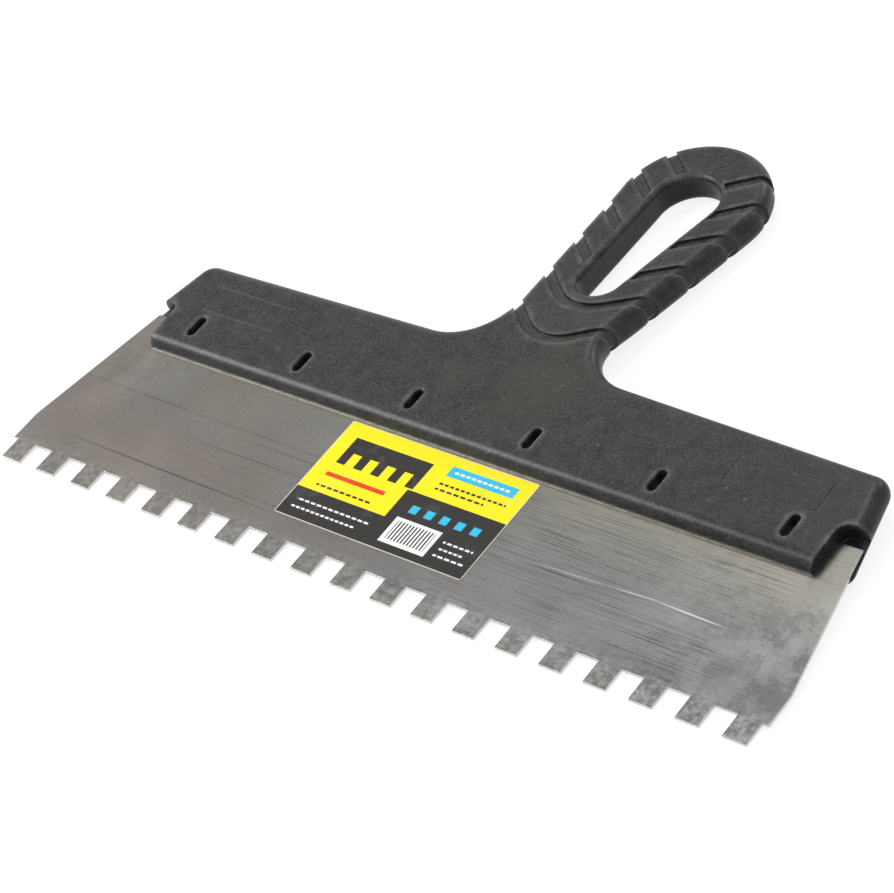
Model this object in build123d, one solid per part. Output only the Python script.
from build123d import *
import math
import os

os.makedirs("parts", exist_ok=True)

# Notched trowel: a toothed steel blade moulded into a one-piece plastic head with a loop handle.
# The model is built with the blade flat: X runs along the blade, Y from the tooth tips to the handle,
# Z out of the front face, and z = 0 is the front face of the blade. At the end every piece is turned
# together, so that the trowel lies as it does on a bench, on its tooth tips and the end of its handle.
# All sizes are in millimetres and degrees.

# Blade
blade_width = 300.0
blade_top_width = 279.0
blade_height = 70.6
blade_side_height = 19.0
blade_thickness = 0.8
tooth_width = 8.0
notch_width = 8.0
notch_depth = 8.0
lock_hole_diameter = 7.0
lock_hole_y = 64.0
lock_hole_count = 5
column_clearance = 0.05

# Head of the moulding
head_front_height = 4.5
head_thickness = 8.5
head_lip_y = 57.5
head_lip_half_width = 143.4
head_end_slope = 0.234
head_rear_y = 94.4
head_rear_slope = 0.024
head_rear_corner_radius = 6.0
head_lip_corner_radius = 4.4
edge_radius = 4.1

# Open front corners that show the blade's upper corners
corner_opening_x = 131.2
corner_opening_y = 74.6
corner_opening_radius = 4.0
corner_floor_gap = 0.4

# Windows through which the mould held the blade
window_pitch = 47.13
window_count = 6
window_width = 3.1
window_length = 8.4
window_y = 68.0
window_chamfer = 0.35

# Loop handle, seen from the front
handle_x = -0.9
neck_fillet_radius = 19.0
arm_taper = 6.8
loop_end_radius = 26.4
loop_end_y = 180.8
hole_neck_radius = 7.2
hole_neck_y = 134.0
hole_end_radius = 11.5
hole_end_y = 178.6
hole_edge_radius = 2.0

# Loop handle, seen from the side: it bends back from the head, grows thicker and levels out again
handle_knee_y = 110.3
handle_slope = 0.134
end_knee_y = 177.3
end_slope = 0.028
neck_thickness = 10.9
loop_end_thickness = 10.3
thickening_start_y = 98.0
thickening_end_y = 124.0
knee_radius = 80.0

# Chevron grip grooves
groove_count = 6
groove_pitch = 16.2
groove_first_y = 100.6
groove_angle = 38.0
groove_width = 3.5
groove_depth = 0.9
groove_nose_radius = 13.0
groove_rim = 2.0

# Faint moulded marks on the front face
mark_depth = 0.15
mark_line = 0.4
gate_mark_diameter = 5.0
gate_mark_x = -2.8
gate_mark_y = 68.8
loop_mark_diameter = 6.0
loop_mark_x = 0.8
loop_mark_y = 198.6
frame_length = 33.0
frame_height = 11.0
frame_x = 105.3
frame_y = 80.1

# Label
label_width = 75.0
label_height = 40.0
label_thickness = 0.15
label_x = -3.0
label_lip_gap = 1.2
label_corner_radius = 0.8

# Reach of the cutting bodies beyond the moulding
reach = 60.0

# How close a corner or an edge lies to the place where it is looked for
near = 2.0
touching = 0.01

# An edge lies along the faces, and doesn't join them, when its direction climbs less than this
lying = 0.7

# As many whole teeth as the blade has room for
tooth_count = math.floor((blade_width + notch_width) / (tooth_width + notch_width))


def head_half_width(y):
    """Half-width of the head at a distance from the tooth tips."""
    return head_lip_half_width - head_end_slope * (y - head_lip_y)


def symmetric_face(right_side):
    """Face from the corners of its right side, listed from the bottom up, and their mirror images."""
    left_side = [(-x, y) for x, y in reversed(right_side)]
    return make_face(Polyline(*right_side, *left_side, right_side[0]))


def corners_at(sketch, x, y):
    """The corners of a sketch close to a point and to its mirror image."""
    return [v for v in sketch.vertices() if abs(abs(v.X) - x) < near and abs(v.Y - y) < near]


def tapered_slot(low_radius, low_y, high_radius, high_y):
    """Two circles on the handle's middle line and the tangents that join them."""
    lean = (high_radius - low_radius) / (high_y - low_y)
    across = math.sqrt(1.0 - lean * lean)
    sides = symmetric_face([
        (low_radius * across, low_y - low_radius * lean),
        (high_radius * across, high_y - high_radius * lean),
    ])
    slot = sides + Pos(0, low_y) * Circle(low_radius) + Pos(0, high_y) * Circle(high_radius)
    return Pos(handle_x, 0) * slot


def moulding_outline():
    """The head and the handle seen from the front."""
    taper = math.tan(math.radians(arm_taper))
    rear_x = head_half_width(head_rear_y)
    middle_y = head_rear_y + head_rear_slope * rear_x
    head = symmetric_face([
        (head_lip_half_width, head_lip_y),
        (rear_x, head_rear_y),
        (head_rear_slope, middle_y),
    ])
    touch_x = loop_end_radius * math.cos(math.radians(arm_taper))
    touch_y = loop_end_y - loop_end_radius * math.sin(math.radians(arm_taper))
    root_y = head_rear_y - neck_fillet_radius
    arms = symmetric_face([
        (touch_x - taper * (touch_y - root_y), root_y),
        (touch_x, touch_y),
    ])
    loop = arms + Pos(0, loop_end_y) * Circle(loop_end_radius)
    whole = head + Pos(handle_x, 0) * loop
    inner_x = touch_x - taper * (touch_y - middle_y)
    whole = fillet(corners_at(whole, inner_x, middle_y), neck_fillet_radius)
    whole = fillet(corners_at(whole, rear_x, head_rear_y), head_rear_corner_radius)
    return fillet(corners_at(whole, head_lip_half_width, head_lip_y), head_lip_corner_radius)


def handle_front(y):
    """Height of the handle's front face at a distance from the tooth tips, past its first knee."""
    bent = min(y, end_knee_y) - handle_knee_y
    levelled = max(y - end_knee_y, 0.0)
    return head_front_height - handle_slope * bent - end_slope * levelled


def moulding_profile():
    """The head and the handle seen from the side: first axis Y, second axis Z."""
    near_y = head_lip_y - reach
    far_y = loop_end_y + reach
    head_back = head_front_height - head_thickness
    profile = make_face(Polyline(
        (near_y, head_front_height),
        (handle_knee_y, head_front_height),
        (end_knee_y, handle_front(end_knee_y)),
        (far_y, handle_front(far_y)),
        (far_y, handle_front(far_y) - loop_end_thickness),
        (end_knee_y, handle_front(end_knee_y) - loop_end_thickness),
        (thickening_end_y, handle_front(thickening_end_y) - neck_thickness),
        (thickening_start_y, head_back),
        (near_y, head_back),
        (near_y, head_front_height),
    ))
    knees = [v for v in profile.vertices() if near_y + near < v.X < far_y - near]
    return fillet(knees, knee_radius)


def moulding_body(inset):
    """The rounded body of the moulding, with every surface moved inwards by the inset."""
    slab = extrude(Plane.YZ * offset(moulding_profile(), -inset), blade_width, both=True)
    column = extrude(offset(moulding_outline(), -inset), reach, both=True)
    body = slab & column
    rim = [e for e in body.edges() if abs(e.tangent_at(0.5).Z) < lying]
    return fillet(rim, edge_radius - inset)


def chevron(first_y):
    """One V-shaped groove seen from the front, its arms rising outwards."""
    climb = math.tan(math.radians(groove_angle))
    rise = groove_width / math.cos(math.radians(groove_angle))
    low_y = first_y - rise / 2
    high_y = first_y + rise / 2
    band = make_face(Polyline(
        (0, low_y),
        (reach, low_y + climb * reach),
        (reach, high_y + climb * reach),
        (0, high_y),
        (-reach, high_y + climb * reach),
        (-reach, low_y + climb * reach),
        (0, low_y),
    ))
    inner = [v for v in band.vertices() if abs(v.X) < near and v.Y > first_y]
    band = fillet(inner, groove_nose_radius)
    outer = [v for v in band.vertices() if abs(v.X) < near and v.Y < first_y]
    return fillet(outer, groove_nose_radius + groove_width)


def ring(diameter):
    """A thin circle line."""
    return Circle(diameter / 2) - Circle(diameter / 2 - mark_line)


def blade_plate():
    """The blade without its lock holes."""
    plate = symmetric_face([
        (blade_width / 2, notch_depth),
        (blade_width / 2, blade_side_height),
        (blade_top_width / 2, blade_height),
    ])
    teeth = GridLocations(tooth_width + notch_width, 0, tooth_count, 1) * Rectangle(
        tooth_width, notch_depth, align=(Align.CENTER, Align.MIN))
    return extrude(plate + teeth, -blade_thickness)


def lock_columns(diameter):
    """Round columns through the blade's lock holes."""
    column = Cylinder(diameter / 2, blade_thickness, align=(Align.CENTER, Align.CENTER, Align.MAX))
    return Pos(0, lock_hole_y) * GridLocations(window_pitch, 0, lock_hole_count, 1) * column


def blade():
    return blade_plate() - lock_columns(lock_hole_diameter)


def cut_hole(body):
    """Cut the loop's hole and round its two edges."""
    opening = tapered_slot(hole_neck_radius, hole_neck_y, hole_end_radius, hole_end_y)
    body -= extrude(opening, reach, both=True)
    wall = opening.wire()
    edges = []
    for edge in body.edges():
        middle = edge.position_at(0.5)
        beside = wall.distance_to(Vertex(middle.X, middle.Y, 0)) < touching
        if beside and abs(edge.tangent_at(0.5).Z) < lying:
            edges.append(edge)
    return fillet(edges, hole_edge_radius)


def cut_grooves(body):
    """Cut the chevron grooves round the handle, leaving a plain rim beside the hole."""
    bands = Sketch() + [chevron(groove_first_y + i * groove_pitch) for i in range(groove_count)]
    bands -= offset(tapered_slot(hole_neck_radius, hole_neck_y, hole_end_radius, hole_end_y), groove_rim)
    return body - (extrude(bands, reach, both=True) - moulding_body(groove_depth))


def cut_windows(body):
    """Cut the windows down to the blade from both faces, with a narrow chamfer at the front."""
    window = Pos(0, window_y) * SlotOverall(window_length, window_width, rotation=90)
    windows = Sketch() + GridLocations(window_pitch, 0, window_count, 1) * window
    body -= extrude(windows, reach, both=True)
    reach_y = window_length / 2 + near
    mouths = []
    for edge in body.edges():
        box = edge.bounding_box()
        in_front = abs(box.min.Z - head_front_height) < touching and box.size.Z < touching
        beside = abs(box.center().Y - window_y) < reach_y and box.size.X < 2 * window_width
        if in_front and beside:
            mouths.append(edge)
    return chamfer(mouths, window_chamfer)


def cut_corner_openings(body):
    """Open the front of the head over the blade's upper corners."""
    low_y = head_lip_y - reach
    opening = make_face(Polyline(
        (corner_opening_x, low_y),
        (blade_width, low_y),
        (blade_width, corner_opening_y),
        (corner_opening_x, corner_opening_y),
        (corner_opening_x, low_y),
    ))
    opening = fillet(corners_at(opening, corner_opening_x, corner_opening_y), corner_opening_radius)
    floor = Pos(0, 0, -blade_thickness - corner_floor_gap)
    cut = floor * extrude(opening, reach)
    return body - cut - mirror(cut, Plane.YZ)


def cut_marks(body):
    """Cut the faint gate circle, the circle on the loop's end and the two bare frames."""
    frame = Rectangle(frame_length, frame_height)
    frame -= Rectangle(frame_length - 2 * mark_line, frame_height - 2 * mark_line)
    flat = Pos(gate_mark_x, gate_mark_y) * ring(gate_mark_diameter)
    flat += Pos(frame_x, frame_y) * frame
    flat += Pos(-frame_x, frame_y) * frame
    body -= Pos(0, 0, head_front_height) * extrude(flat, mark_depth, both=True)
    tilted = Plane((loop_mark_x, loop_mark_y, handle_front(loop_mark_y)), (1, 0, 0), (0, end_slope, 1))
    return body - extrude(tilted * ring(loop_mark_diameter), mark_depth, both=True)


def handle_moulding():
    body = cut_hole(moulding_body(0.0))
    body = cut_grooves(body)
    body = cut_windows(body)
    body = cut_corner_openings(body)
    body = cut_marks(body)
    body -= blade_plate()
    return body + lock_columns(lock_hole_diameter - 2 * column_clearance)


def label():
    middle_y = head_lip_y - label_lip_gap - label_height / 2
    return Pos(label_x, middle_y) * extrude(
        RectangleRounded(label_width, label_height, label_corner_radius), label_thickness)


def rest_angle():
    """Angle through which the trowel turns about X to lie on its tooth tips and the handle's back."""
    end_back = handle_front(end_knee_y) - loop_end_thickness
    neck_back = handle_front(thickening_end_y) - neck_thickness
    steep = math.atan2(neck_back - end_back, end_knee_y - thickening_end_y)
    gentle = math.atan(end_slope)
    lean = (steep + gentle) / 2
    to_centre = knee_radius / math.cos((steep - gentle) / 2)
    centre_y = end_knee_y + to_centre * math.sin(lean)
    centre_z = end_back + to_centre * math.cos(lean) + blade_thickness
    return math.degrees(math.asin(knee_radius / math.hypot(centre_y, centre_z)) - math.atan2(centre_z, centre_y))


pieces = {
    "handle_moulding": handle_moulding(),
    "blade": blade(),
    "label": label(),
}
turned = {name: Rot(rest_angle(), 0, 0) * piece for name, piece in pieces.items()}
box = Compound(list(turned.values())).bounding_box()
ground = Pos(-box.center().X, -box.center().Y, -box.min.Z)
for name, piece in turned.items():
    export_step(ground * piece, "parts/" + name + ".step")
print("rest angle", round(rest_angle(), 3), "size", box.size)
